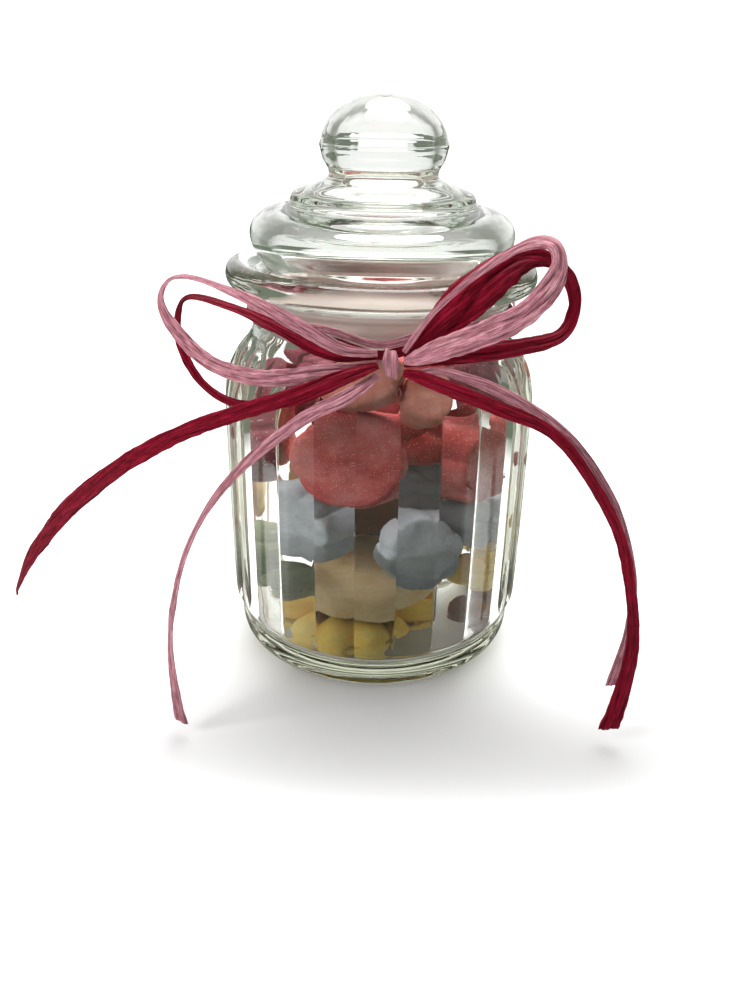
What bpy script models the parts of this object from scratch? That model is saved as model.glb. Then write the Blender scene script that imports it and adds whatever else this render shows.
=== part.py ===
"""Pressed-glass sweet jar with a glass lid, filled with moulded sugar sweets
and tied round the neck with a bow of pink and crimson paper raffia.

Metres, +Z up. The origin is the middle of the base ring, on the surface that
the jar stands on. The front, with the knot of the bow, faces -Y.
"""
import math

import bpy
import bmesh
from mathutils import Matrix, Vector

MM = 0.001

# ---------------------------------------------------------------- sizes (mm)
FLUTES = 25                 # lobes round the body, one centred on the front
FLUTE_DEPTH = 0.6           # valley between two lobes
BODY_R = 37.5               # crest of a lobe
BORE_R = 33.3               # inside of the body
FLOOR_Z = 4.4               # inside bottom
NECK_R = 29.8
JAR_SIDES = FLUTES * 2
LID_SIDES = 24
SEAL_SIDES = 20

KNOT = (2.2, -34.1, 80.7)   # middle of the knot
STRAND_T = 0.6              # thickness of a folded raffia strand

# Turned profiles as (radius, height, how much the flutes show).
JAR_OUTSIDE = [
    (0.0, 1.4, 0), (28.4, 0.9, 0),                          # push-up of the base
    (29.2, 0.0, 0), (31.6, 0.0, 0),                         # flat resting ring
    (34.6, 1.6, 0), (35.7, 5.4, 0),                         # smooth heel
    (35.2, 9.0, 0), (37.3, 12.0, 1),                        # notch, flutes start
    (BODY_R, 62.0, 1),
    (36.8, 68.4, 1), (34.6, 74.0, 1),                       # shoulder
    (31.2, 78.6, 0.2), (NECK_R, 81.4, 0), (NECK_R, 87.6, 0),
    (34.4, 90.4, 0), (35.6, 92.8, 0), (33.6, 95.8, 0),      # rolled rim
]
JAR_INSIDE = [
    (30.6, 95.0, 0), (27.6, 92.4, 0), (26.9, 89.6, 0),      # dished seat
    (26.9, 82.0, 0), (28.6, 77.4, 0), (31.6, 71.4, 0),
    (BORE_R, 62.0, 0), (BORE_R, 14.0, 0),
    (32.2, 8.0, 0), (28.6, 5.0, 0), (0.0, FLOOR_Z, 0),
]
LID_OUTSIDE = [
    (0.0, 130.3), (6.4, 129.1), (11.6, 125.2), (14.0, 119.6),
    (13.3, 116.6), (12.1, 114.0),                           # hollow knob
    (14.0, 112.1), (20.2, 109.8),                           # flat step
    (20.6, 107.9), (25.6, 106.3),
    (28.9, 104.2), (29.8, 101.6), (28.9, 97.6),
    (26.2, 93.3), (24.0, 92.7), (23.9, 81.6),               # plug
]
LID_INSIDE = [
    (20.8, 81.6), (20.8, 91.6), (25.4, 98.0),
    (26.3, 101.6), (24.4, 104.0), (17.4, 105.8),
    (9.8, 110.6), (9.2, 113.6), (11.1, 119.4),
    (8.8, 124.4), (0.0, 127.6),
]
SEAL = [
    (26.4, 91.2), (26.4, 86.7), (25.9, 86.2), (26.4, 85.7), (26.4, 80.6),
    (24.5, 80.6), (24.5, 91.2),
]

# Raffia strands: points (x, y, z, width, turn of the flat face in degrees).
# The flat face looks at the front; each strand runs from the knot outwards.
STRANDS = {
    "pink_left_loop": ("pink", [
        (-0.6, -34.3, 82.8, 1.4, 0), (-3.5, -35.8, 83.3, 1.8, 0),
        (-8.5, -37.4, 84.8, 2.6, 0), (-16.0, -37.8, 89.0, 2.8, 0),
        (-25.0, -36.0, 93.2, 2.4, 20), (-35.0, -31.0, 95.8, 1.8, 45),
        (-41.0, -28.3, 95.8, 1.8, 55), (-44.2, -27.0, 93.0, 2.2, 50),
        (-44.5, -27.0, 89.0, 2.6, 40), (-40.4, -30.2, 84.2, 3.0, 20),
        (-33.0, -35.6, 80.2, 3.0, 0), (-22.5, -39.4, 78.8, 3.4, 0),
        (-10.0, -39.0, 80.2, 3.2, 0), (-4.0, -36.8, 80.6, 2.0, 0),
        (-0.6, -34.2, 80.8, 1.2, 0)]),
    "crimson_left_loop": ("crimson", [
        (-0.6, -32.7, 81.7, 1.2, 0), (-3.5, -33.7, 82.0, 1.8, 0),
        (-8.5, -35.3, 82.8, 3.0, 0), (-14.0, -35.8, 84.8, 3.0, 0),
        (-22.0, -34.0, 88.4, 2.2, 10), (-30.4, -29.6, 90.5, 2.0, 30),
        (-38.8, -25.0, 91.4, 2.2, 45), (-42.2, -23.2, 88.0, 2.4, 45),
        (-42.0, -24.4, 81.0, 2.2, 30), (-37.2, -28.6, 74.2, 1.8, 10),
        (-29.0, -33.2, 71.3, 1.8, 0), (-17.0, -37.4, 73.6, 2.0, 0),
        (-6.0, -35.8, 78.0, 1.8, 0), (-0.6, -32.7, 79.7, 1.1, 0)]),
    "crimson_left_tail": ("crimson", [
        (-0.4, -35.7, 80.7, 1.4, 0), (-3.5, -38.4, 80.5, 2.4, 0),
        (-8.5, -41.4, 79.3, 3.2, 0), (-16.0, -43.2, 76.7, 3.4, 0),
        (-27.0, -42.4, 72.8, 3.2, 0), (-40.0, -38.0, 66.4, 3.6, 10),
        (-56.0, -31.0, 55.6, 4.4, 15), (-72.0, -22.6, 41.0, 4.6, 10),
        (-86.0, -15.0, 24.0, 4.0, 25), (-93.0, -10.5, 12.6, 2.8, 45),
        (-94.6, -9.0, 8.4, 2.0, 55)]),
    "pink_left_tail": ("pink", [
        (-0.4, -35.7, 78.8, 1.4, 0), (-2.6, -39.0, 77.8, 2.2, 0),
        (-7.0, -43.4, 76.2, 2.8, 0), (-15.0, -45.4, 72.4, 2.6, 0),
        (-27.3, -47.4, 62.4, 1.9, 0), (-36.0, -48.4, 50.4, 1.5, 30),
        (-41.0, -49.3, 37.0, 2.0, 45), (-43.4, -50.0, 22.5, 2.3, 45),
        (-43.0, -50.6, 8.0, 2.7, 30), (-42.4, -51.0, 3.0, 3.0, 20)]),
    "crimson_right_tail": ("crimson", [
        (4.8, -35.7, 79.4, 1.4, 0), (7.6, -38.4, 79.5, 2.4, 0),
        (12.5, -42.0, 78.7, 3.0, 0), (23.0, -44.8, 75.5, 3.0, 0),
        (33.4, -46.2, 71.2, 2.4, 0), (41.4, -47.6, 62.4, 2.2, 20),
        (48.6, -48.8, 50.6, 2.4, 40), (52.6, -49.8, 38.0, 2.6, 50),
        (54.6, -50.5, 24.5, 3.0, 40), (53.8, -51.0, 12.0, 3.6, 15),
        (52.4, -51.2, 3.6, 4.2, 5)]),
    "pink_right_tail": ("pink", [
        (4.8, -34.2, 78.9, 1.2, 0), (8.0, -36.8, 79.8, 1.4, 0),
        (13.0, -39.4, 80.8, 1.8, 0), (22.6, -41.2, 78.0, 2.4, 0),
        (32.6, -43.4, 72.8, 2.4, 0), (40.4, -44.8, 66.2, 2.0, 0),
        (48.2, -46.0, 54.6, 1.9, 20), (53.2, -46.8, 40.6, 1.8, 40),
        (54.4, -47.2, 27.0, 1.9, 45), (52.6, -47.4, 12.6, 2.2, 25)]),
    "pink_right_loop": ("pink", [
        (4.8, -35.7, 81.7, 1.4, 0), (7.4, -38.0, 83.2, 3.4, 0),
        (12.0, -40.6, 85.8, 4.6, 0), (20.0, -42.2, 89.4, 4.8, 0),
        (27.0, -41.4, 93.0, 4.6, 5), (31.6, -39.2, 97.8, 4.6, 15),
        (33.2, -37.2, 101.6, 4.2, 30), (32.0, -35.4, 104.6, 4.0, 35),
        (28.6, -34.2, 104.8, 3.2, 35), (24.0, -34.6, 102.8, 2.1, 30),
        (17.0, -37.4, 98.6, 1.3, 0), (10.2, -37.8, 92.2, 1.1, 0),
        (6.6, -36.0, 86.6, 1.3, 0), (4.8, -34.3, 83.2, 1.2, 0)]),
    "crimson_right_loop": ("crimson", [
        (4.8, -32.8, 82.0, 1.2, 0), (7.2, -34.2, 84.6, 2.4, 0),
        (12.2, -35.5, 90.0, 6.4, 0), (18.0, -34.6, 95.2, 8.2, 0),
        (24.0, -32.6, 99.6, 6.6, 0), (29.4, -29.8, 101.2, 3.8, 10),
        (34.2, -27.8, 100.0, 2.8, 20), (38.0, -26.6, 96.0, 2.8, 30),
        (39.2, -27.0, 91.0, 2.8, 30), (36.4, -30.0, 86.2, 3.0, 15),
        (28.0, -34.2, 84.8, 3.6, 0), (17.0, -36.6, 83.7, 3.8, 0),
        (9.6, -35.8, 82.2, 2.6, 0), (4.8, -34.2, 80.7, 1.3, 0)]),
}

# Sweets that lean on the glass: azimuth from the front towards +X, height of
# the middle, radius, width ratio, petals, thickness, face tilt up, spin,
# extra clearance from the wall, colour.
WALL_SWEETS = {
    # front
    "sweet_blue_front": (19.5, 35.4, 9.5, 1.0, 8, 8.5, 8, 10, 0.0, "blue"),
    "sweet_blue_left": (-38.5, 38.2, 10.9, 1.0, 8, 8.0, -8, 12, 3.0, "blue"),
    "sweet_pink_big": (-12, 57.2, 13.0, 0.84, 6, 9.0, 17, 0, 0.0, "rose"),
    "sweet_peach_left": (-7, 73.9, 8.8, 0.74, 5, 7.0, 30, 20, 0.0, "peach"),
    "sweet_peach_right": (21.5, 70.0, 6.2, 0.9, 4, 6.2, 34, 40, 0.0, "peach"),
    "sweet_rose_right": (46, 54.2, 8.8, 1.05, 6, 8.0, 4, 8, 0.0, "rose"),
    "sweet_mauve_right": (61, 70.8, 7.8, 1.0, 5, 7.5, 26, 12, 0.0, "mauve"),
    "sweet_blue_right": (53.5, 38.6, 7.4, 0.92, 6, 7.5, 0, 0, 0.0, "blue"),
    "sweet_yellow_right": (53, 25.4, 5.7, 0.9, 6, 6.5, 6, 18, 0.0, "yellow"),
    "sweet_green_left": (-73.5, 23.0, 8.7, 1.0, 6, 8.0, 0, 20, 0.0, "green"),
    "sweet_mauve_left": (-66, 54.4, 9.6, 0.94, 5, 7.5, 4, 12, 0.0, "mauve"),
    "sweet_green_low": (-45, 22.2, 4.7, 1.0, 5, 6.5, 0, 30, 0.0, "green"),
    "sweet_amber_side": (60, 12.6, 6.5, 1.0, 5, 7.0, 0, 10, 0.0, "amber"),
    # sides and back
    "sweet_rose_side": (92, 49.6, 9.8, 1.0, 5, 7.0, 0, 26, 0.0, "rose"),
    "sweet_cream_side": (97, 27.2, 10.6, 1.0, 5, 7.5, 4, 0, 0.0, "cream"),
    "sweet_blue_back": (132, 42.0, 10.0, 1.0, 5, 7.0, -4, 14, 0.0, "blue"),
    "sweet_peach_back": (134, 63.6, 9.4, 1.0, 5, 7.0, 8, 0, 0.0, "peach"),
    "sweet_yellow_back": (140, 20.0, 10.4, 1.0, 6, 7.0, 6, 22, 0.0, "yellow"),
    "sweet_rose_back": (176, 32.4, 10.4, 1.0, 5, 7.5, 2, 6, 0.0, "rose"),
    "sweet_mauve_rear": (174, 56.0, 10.4, 1.0, 5, 7.5, 4, 10, 0.0, "mauve"),
    "sweet_rose_high": (177, 72.8, 9.8, 0.62, 5, 6.0, 24, 0, 0.0, "rose"),
    "sweet_rose_rear": (-143, 44.6, 10.2, 1.0, 5, 7.0, 0, 30, 0.0, "rose"),
    "sweet_mauve_back": (-140, 66.0, 8.6, 1.0, 5, 7.0, 12, 14, 0.0, "mauve"),
    "sweet_peach_side": (-144, 20.6, 10.6, 1.0, 5, 7.5, 8, 12, 0.0, "peach"),
    "sweet_mauve_side": (-107.5, 58.0, 9.2, 1.0, 5, 7.0, 6, 0, 0.0, "mauve"),
    "sweet_cream_left": (-106, 35.0, 9.0, 1.0, 6, 7.0, -2, 20, 0.0, "cream"),
}

# Sweets that lie inside the pile: middle (x, y, z), radius, width ratio,
# petals, thickness, azimuth and tilt of the face, spin, colour.
CORE_SWEETS = {
    "sweet_yellow_daisy": ((-5.0, -11.2, 11.4), 18.6, 1.0, 12, 9.6, 0, 86, 15, "yellow"),
    "sweet_cream_front": ((-2.0, -15.6, 21.4), 14.0, 1.0, 7, 7.4, 6, 80, 20, "cream"),
    "sweet_rose_inner": ((11.2, -14.2, 60.4), 9.2, 0.96, 6, 8.6, 22, 20, 0, "rose"),
    "sweet_blue_inner": ((10.4, -12.4, 44.8), 8.8, 0.86, 6, 8.0, 20, 24, 12, "blue"),
    "sweet_amber_inner": ((-4.6, -6.6, 37.6), 9.0, 1.0, 5, 9.0, -8, 12, 0, "amber"),
    "sweet_green_inner": ((4.0, 17.4, 12.0), 11.6, 1.0, 5, 9.0, 150, 80, 0, "green"),
    "sweet_cream_inner": ((-7.0, 9.0, 45.0), 11.4, 1.0, 5, 9.0, 200, 62, 0, "cream"),
    "sweet_peach_inner": ((1.0, 9.8, 26.6), 12.4, 1.0, 5, 10.0, 190, 66, 0, "peach"),
    "sweet_mauve_top": ((-11.4, -12.6, 71.0), 7.6, 1.0, 5, 7.0, -30, 50, 0, "mauve"),
    "sweet_rose_top": ((9.0, 7.0, 69.6), 11.0, 1.0, 5, 8.5, 60, 74, 0, "rose"),
    "sweet_rose_core": ((-5.0, -7.6, 62.4), 9.6, 1.0, 5, 8.5, -6, 20, 0, "rose"),
    "sweet_mauve_core": ((14.0, 6.0, 55.0), 11.0, 1.0, 5, 9.0, 40, 56, 0, "mauve"),
    "sweet_amber_core": ((12.8, -4.4, 30.2), 8.0, 1.0, 5, 8.0, 24, 16, 0, "amber"),
}

PAINT = {  # base colour, roughness
    "rose": ((0.47, 0.10, 0.13), 0.55),
    "peach": ((0.62, 0.30, 0.24), 0.55),
    "mauve": ((0.30, 0.13, 0.17), 0.55),
    "blue": ((0.28, 0.38, 0.50), 0.55),
    "cream": ((0.62, 0.50, 0.42), 0.55),
    "yellow": ((0.66, 0.52, 0.20), 0.55),
    "green": ((0.42, 0.50, 0.34), 0.55),
    "amber": ((0.45, 0.22, 0.10), 0.50),
    "pink": ((0.66, 0.28, 0.36), 0.60),
    "crimson": ((0.30, 0.005, 0.045), 0.60),
    "seal": ((0.80, 0.76, 0.74), 0.45),
}


# ------------------------------------------------------------------ helpers
def clear_scene():
    for obj in list(bpy.data.objects):
        bpy.data.objects.remove(obj, do_unlink=True)


def paint(key):
    mat = bpy.data.materials.get(key)
    if mat:
        return mat
    mat = bpy.data.materials.new(key)
    mat.use_nodes = True
    bsdf = mat.node_tree.nodes["Principled BSDF"]
    if key == "glass":
        bsdf.inputs["Base Color"].default_value = (0.93, 0.97, 0.94, 1)
        bsdf.inputs["Roughness"].default_value = 0.02
        bsdf.inputs["Transmission Weight"].default_value = 1.0
        bsdf.inputs["IOR"].default_value = 1.5
    else:
        rgb, rough = PAINT[key]
        bsdf.inputs["Base Color"].default_value = (*rgb, 1)
        bsdf.inputs["Roughness"].default_value = rough
    bsdf.inputs["Metallic"].default_value = 0.0
    return mat


def finish(bm, name, colour, parent, sharp=50.0):
    bmesh.ops.recalc_face_normals(bm, faces=bm.faces)
    mesh = bpy.data.meshes.new(name)
    bm.to_mesh(mesh)
    bm.free()
    mesh.shade_smooth()
    mesh.set_sharp_from_angle(angle=math.radians(sharp))
    mesh.materials.append(paint(colour))
    obj = bpy.data.objects.new(name, mesh)
    bpy.context.collection.objects.link(obj)
    obj.parent = parent
    return obj


def turned(name, profile, sides, colour, parent, closed_ring=False):
    """Turn a profile about Z. A point on the axis becomes one vertex."""
    bm = bmesh.new()
    rows = []
    for point in profile:
        r, z = point[0], point[1]
        show = point[2] if len(point) > 2 else 0.0
        if r == 0.0:
            rows.append([bm.verts.new((0, 0, z * MM))])
            continue
        row = []
        for i in range(sides):
            # i = 0 sits in the valley beside the front lobe
            turn = (i / sides + 0.5 / FLUTES) * math.tau
            u = 2.0 * ((i * FLUTES / sides) % 1.0) - 1.0
            rr = (r - show * FLUTE_DEPTH * u * u) * MM
            row.append(bm.verts.new((rr * math.sin(turn), -rr * math.cos(turn), z * MM)))
        rows.append(row)
    pairs = list(zip(rows, rows[1:]))
    if closed_ring:
        pairs.append((rows[-1], rows[0]))
    for a, b in pairs:
        for i in range(sides):
            j = (i + 1) % sides
            if len(a) == 1:
                bm.faces.new((a[0], b[i], b[j]))
            elif len(b) == 1:
                bm.faces.new((a[i], b[0], a[j]))
            else:
                bm.faces.new((a[i], b[i], b[j], a[j]))
    return finish(bm, name, colour, parent)


def catmull(points, t):
    """A point on the smooth curve through the rows of numbers in points."""
    n = len(points) - 1
    k = min(int(t), n - 1)
    u = t - k
    p1, p2 = points[k], points[k + 1]
    p0 = points[k - 1] if k else [2 * a - b for a, b in zip(p1, p2)]
    p3 = points[k + 2] if k + 2 <= n else [2 * b - a for a, b in zip(p1, p2)]
    return [0.5 * (2 * b + (c - a) * u + (2 * a - 5 * b + 4 * c - d) * u * u
                   + (3 * b - a - 3 * c + d) * u ** 3)
            for a, b, c, d in zip(p0, p1, p2, p3)]


def strand(name, points, colour, parent, steps=2):
    """A flat closed band swept along its route."""
    count = (len(points) - 1) * steps + 1
    rows = [catmull(points, i / steps) for i in range(count)]
    spots = [Vector(r[:3]) for r in rows]
    front = Vector((0.0, -0.9, 0.43)).normalized()
    bm = bmesh.new()
    rings = []
    for i, row in enumerate(rows):
        along = (spots[min(i + 1, count - 1)] - spots[max(i - 1, 0)]).normalized()
        across = along.cross(front).normalized()
        across = Matrix.Rotation(math.radians(row[4]), 3, along) @ across
        up = across.cross(along).normalized()
        a = across * row[3] * 0.5
        b = up * STRAND_T * 0.5
        ring = [spots[i] + a + b, spots[i] - a + b, spots[i] - a - b, spots[i] + a - b]
        rings.append([bm.verts.new(p * MM) for p in ring])
    for a, b in zip(rings, rings[1:]):
        for k in range(4):
            m = (k + 1) % 4
            bm.faces.new((a[k], a[m], b[m], b[k]))
    bm.faces.new(rings[0][::-1])
    bm.faces.new(rings[-1])
    return finish(bm, name, colour, parent, 40)


def outline(petals, turn, depth=0.10):
    """Radius of a moulded flower at an angle: round petals, sharp valleys."""
    return 1.0 - depth + depth * abs(math.cos(0.5 * petals * turn)) ** 0.8


def sweet_mesh(radius, ratio, petals, thick):
    """Vertices and faces of one moulded sweet, face up, middle at zero."""
    sides = petals * 3
    depth = 0.10 if petals < 10 else 0.13
    rows = [(0.90, -0.5, 0.6), (1.0, -0.12, 1.0), (0.86, 0.34, 1.1)]
    verts = [(0, 0, -0.5 * thick)]
    for scale, height, wave in rows:
        for i in range(sides):
            turn = i / sides * math.tau
            r = radius * scale * (1 + wave * (outline(petals, turn, depth) - 1))
            verts.append((r * math.cos(turn), r * ratio * math.sin(turn), height * thick))
    verts.append((0, 0, 0.5 * thick))
    faces = []
    for i in range(sides):
        j = (i + 1) % sides
        faces.append((0, 1 + j, 1 + i))
        for k in range(2):
            a, b = 1 + k * sides, 1 + (k + 1) * sides
            faces.append((a + i, a + j, b + j, b + i))
        top = 1 + 2 * sides
        faces.append((top + i, top + j, len(verts) - 1))
    return verts, faces


def facing(azimuth, tilt, spin):
    """Turn a sweet's face from +Z to the azimuth (0 = front) and tilt up."""
    return (Matrix.Rotation(math.radians(azimuth), 3, "Z")
            @ Matrix.Rotation(math.radians(90 - tilt), 3, "X")
            @ Matrix.Rotation(math.radians(spin), 3, "Z"))


def bore(z):
    """Inner radius of the glass at a height, in mm."""
    line = sorted((p[1], p[0]) for p in JAR_INSIDE)
    for (z0, r0), (z1, r1) in zip(line, line[1:]):
        if z0 <= z <= z1 and z1 > z0:
            return r0 + (r1 - r0) * (z - z0) / (z1 - z0)
    return line[-1][1]


def sweet(name, verts, faces, turn, middle, colour, parent):
    bm = bmesh.new()
    made = [bm.verts.new((Vector(middle) + turn @ Vector(v)) * MM) for v in verts]
    for face in faces:
        bm.faces.new([made[i] for i in face])
    return finish(bm, name, colour, parent, 60)


def wall_middle(verts, turn, azimuth, height, gap):
    """Slide a sweet out along its azimuth until it stands off the glass."""
    a = math.radians(azimuth)
    out = Vector((math.sin(a), -math.cos(a), 0))
    turned_verts = [turn @ Vector(v) for v in verts]
    reach = BORE_R
    while reach > 0:
        middle = out * reach + Vector((0, 0, height))
        if all(math.hypot((middle + v).x, (middle + v).y) < bore((middle + v).z) - gap
               for v in turned_verts):
            return middle
        reach -= 0.1
    return Vector((0, 0, height))


def wrap_drop(turn):
    """How far the turn round the neck is pulled down near the knot, in mm."""
    return 2.6 * math.exp(-(turn / 0.24) ** 2)


# -------------------------------------------------------------------- build
def build():
    clear_scene()
    root = bpy.data.objects.new("sweet_jar", None)
    bpy.context.collection.objects.link(root)

    turned("jar", JAR_OUTSIDE + JAR_INSIDE, JAR_SIDES, "glass", root)
    turned("lid", LID_OUTSIDE + LID_INSIDE, LID_SIDES, "glass", root)
    turned("seal", SEAL, SEAL_SIDES, "seal", root, closed_ring=True)

    # raffia wound once round the neck, dropping towards the knot
    for name, colour, low, high in (("neck_wrap_pink", "pink", 85.7, 87.2),
                                    ("neck_wrap_crimson", "crimson", 83.3, 85.3)):
        wrap = turned(name, [(30.7, low), (31.3, low), (31.3, high), (30.7, high)],
                      24, colour, root, closed_ring=True)
        for vert in wrap.data.vertices:
            vert.co.z -= wrap_drop(math.atan2(vert.co.x, -vert.co.y)) * MM

    for name, (colour, points) in STRANDS.items():
        strand("raffia_" + name, points, colour, root)

    # the knot: one turn of pink raffia pulled tight over all the strands
    bm = bmesh.new()
    bmesh.ops.create_uvsphere(bm, u_segments=14, v_segments=8, radius=1.0)
    for vert in bm.verts:
        p = vert.co
        m = max(abs(p.x), abs(p.y), abs(p.z))
        p = p.lerp(p / m, 0.45)          # between a ball and a box
        p.x *= 2.0 * (1 - 0.12 * p.z * p.z)
        p.y *= 2.2
        p.z *= 3.0
        vert.co = (Matrix.Rotation(math.radians(14), 3, "Y") @ p + Vector(KNOT)) * MM
    finish(bm, "raffia_knot", "pink", root, 70)

    for name, spec in WALL_SWEETS.items():
        azimuth, height, radius, ratio, petals, thick, tilt, spin, extra, colour = spec
        verts, faces = sweet_mesh(radius, ratio, petals, thick)
        turn = facing(azimuth, tilt, spin)
        middle = wall_middle(verts, turn, azimuth, height, 0.5 + extra)
        sweet(name, verts, faces, turn, middle, colour, root)

    for name, spec in CORE_SWEETS.items():
        middle, radius, ratio, petals, thick, azimuth, tilt, spin, colour = spec
        verts, faces = sweet_mesh(radius, ratio, petals, thick)
        sweet(name, verts, faces, facing(azimuth, tilt, spin), middle, colour, root)


build()
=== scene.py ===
"""Looks of the pressed-glass sweet jar: smooth clear glass with convex flutes,
a domed glass lid, moulded sugar sweets and a bow of folded paper raffia.
"""
import math

import bpy
import bmesh
from mathutils import Matrix, Vector, noise
from mathutils.bvhtree import BVHTree


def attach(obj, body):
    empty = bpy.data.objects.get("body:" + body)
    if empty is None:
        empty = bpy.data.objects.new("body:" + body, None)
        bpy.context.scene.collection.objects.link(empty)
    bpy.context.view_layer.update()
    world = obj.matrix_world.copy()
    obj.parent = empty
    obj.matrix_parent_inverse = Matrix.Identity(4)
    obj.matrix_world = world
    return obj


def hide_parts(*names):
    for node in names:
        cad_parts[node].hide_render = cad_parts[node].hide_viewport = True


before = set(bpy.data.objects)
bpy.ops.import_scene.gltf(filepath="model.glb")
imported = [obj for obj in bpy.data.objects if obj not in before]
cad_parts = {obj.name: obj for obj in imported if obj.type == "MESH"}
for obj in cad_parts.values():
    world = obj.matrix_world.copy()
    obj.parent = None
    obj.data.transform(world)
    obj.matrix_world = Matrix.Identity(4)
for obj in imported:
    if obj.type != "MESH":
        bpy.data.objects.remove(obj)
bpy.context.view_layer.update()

MM = 0.001
TAU = math.tau

# ------------------------------------------------------------------- camera
F_PX = 830.0                 # focal length for a picture 1000 high
PITCH = math.radians(25.46)
ROLL = math.radians(1.2)


def make_camera():
    data = bpy.data.cameras.new("camera")
    data.sensor_fit = "AUTO"
    data.sensor_width = 36.0
    data.lens = F_PX * 36.0 / 1000.0
    data.clip_start = 0.005
    data.clip_end = 30.0
    cam = bpy.data.objects.new("camera", data)
    bpy.context.scene.collection.objects.link(cam)
    ahead = Vector((0.0, math.cos(PITCH), -math.sin(PITCH)))
    right = Vector((1.0, 0.0, 0.0))
    up = right.cross(ahead)
    c, s = math.cos(ROLL), math.sin(ROLL)
    right, up = right * c + up * s, up * c - right * s
    turn = Matrix((right, up, -ahead)).transposed()
    cam.matrix_world = Matrix.Translation((-0.0004, -0.196, 0.1275)) @ turn.to_4x4()
    bpy.context.scene.camera = cam


make_camera()


# ------------------------------------------------------------------ helpers
def catmull(points, t):
    """A point on the smooth curve through the rows of numbers in points."""
    n = len(points) - 1
    k = min(int(t), n - 1)
    u = t - k
    p1, p2 = points[k], points[k + 1]
    p0 = points[k - 1] if k else [2 * a - b for a, b in zip(p1, p2)]
    p3 = points[k + 2] if k + 2 <= n else [2 * b - a for a, b in zip(p1, p2)]
    return [0.5 * (2 * b + (c - a) * u + (2 * a - 5 * b + 4 * c - d) * u * u
                   + (3 * b - a - 3 * c + d) * u ** 3)
            for a, b, c, d in zip(p0, p1, p2, p3)]


def smooth_profile(points, pitch=0.7, most=14):
    """Rows through unevenly spaced points, close together where it bends."""
    n = len(points)
    h = [max(1e-6, math.dist(points[i][:2], points[i + 1][:2]) ** 0.5) for i in range(n - 1)]
    slope = [[(b - a) / h[i] for a, b in zip(points[i], points[i + 1])] for i in range(n - 1)]
    tangent = []
    for i in range(n):
        if i == 0:
            tangent.append(slope[0])
        elif i == n - 1:
            tangent.append(slope[-1])
        else:
            tangent.append([(p * h[i] + q * h[i - 1]) / (h[i] + h[i - 1])
                            for p, q in zip(slope[i - 1], slope[i])])
    rows = []
    for i in range(n - 1):
        steps = max(2, min(most, math.ceil(math.dist(points[i][:2], points[i + 1][:2]) / pitch)))
        for k in range(steps):
            u = k / steps
            a = 2 * u ** 3 - 3 * u * u + 1
            b = u ** 3 - 2 * u * u + u
            c = 3 * u * u - 2 * u ** 3
            d = u ** 3 - u * u
            rows.append([a * p + b * h[i] * m + c * q + d * h[i] * w
                         for p, q, m, w in zip(points[i], points[i + 1], tangent[i], tangent[i + 1])])
    rows.append(list(points[-1]))
    return rows


def ease(x):
    x = min(1.0, max(0.0, x))
    return x * x * (3 - 2 * x)


def new_piece(name, bm, mat, nodes, smooth=True):
    bmesh.ops.recalc_face_normals(bm, faces=bm.faces)
    mesh = bpy.data.meshes.new(name)
    bm.to_mesh(mesh)
    bm.free()
    if smooth:
        mesh.shade_smooth()
    mesh.materials.append(mat)
    obj = bpy.data.objects.new(name, mesh)
    bpy.context.scene.collection.objects.link(obj)
    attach(obj, "root")
    if nodes:
        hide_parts(*nodes)
    return obj


def new_material(name):
    mat = bpy.data.materials.new(name)
    mat.use_nodes = True
    tree = mat.node_tree
    return mat, tree, tree.nodes["Principled BSDF"]


def put(tree, kind, **values):
    node = tree.nodes.new(kind)
    for key, value in values.items():
        setattr(node, key, value)
    return node


def noise_node(tree, scale, detail=2.0, rough=0.5, vector=None, dims="3D"):
    node = put(tree, "ShaderNodeTexNoise", noise_dimensions=dims)
    node.inputs["Scale"].default_value = scale
    node.inputs["Detail"].default_value = detail
    node.inputs["Roughness"].default_value = rough
    if vector is not None:
        tree.links.new(vector, node.inputs["Vector"])
    return node


def ramp_node(tree, factor, stops, interpolation="LINEAR"):
    node = put(tree, "ShaderNodeValToRGB")
    node.color_ramp.interpolation = interpolation
    elements = node.color_ramp.elements
    while len(elements) < len(stops):
        elements.new(0.5)
    for element, (place, colour) in zip(elements, stops):
        element.position = place
        element.color = (*colour, 1.0) if len(colour) == 3 else colour
    tree.links.new(factor, node.inputs["Fac"])
    return node


def mix_colour(tree, factor, a, b, blend="MIX"):
    node = put(tree, "ShaderNodeMix", data_type="RGBA", blend_type=blend)
    # the colour sockets of a Mix node are numbers 6 and 7
    for place, value in ((0, factor), (6, a), (7, b)):
        socket = node.inputs[place]
        if isinstance(value, (int, float)):
            socket.default_value = value
        elif isinstance(value, (tuple, list)):
            socket.default_value = (*value, 1.0) if len(value) == 3 else value
        else:
            tree.links.new(value, socket)
    return node.outputs[2]


def math_node(tree, operation, a, b=0.0, clamp=False):
    node = put(tree, "ShaderNodeMath", operation=operation, use_clamp=clamp)
    for socket, value in ((node.inputs[0], a), (node.inputs[1], b)):
        if isinstance(value, (int, float)):
            socket.default_value = value
        else:
            tree.links.new(value, socket)
    return node.outputs[0]


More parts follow.
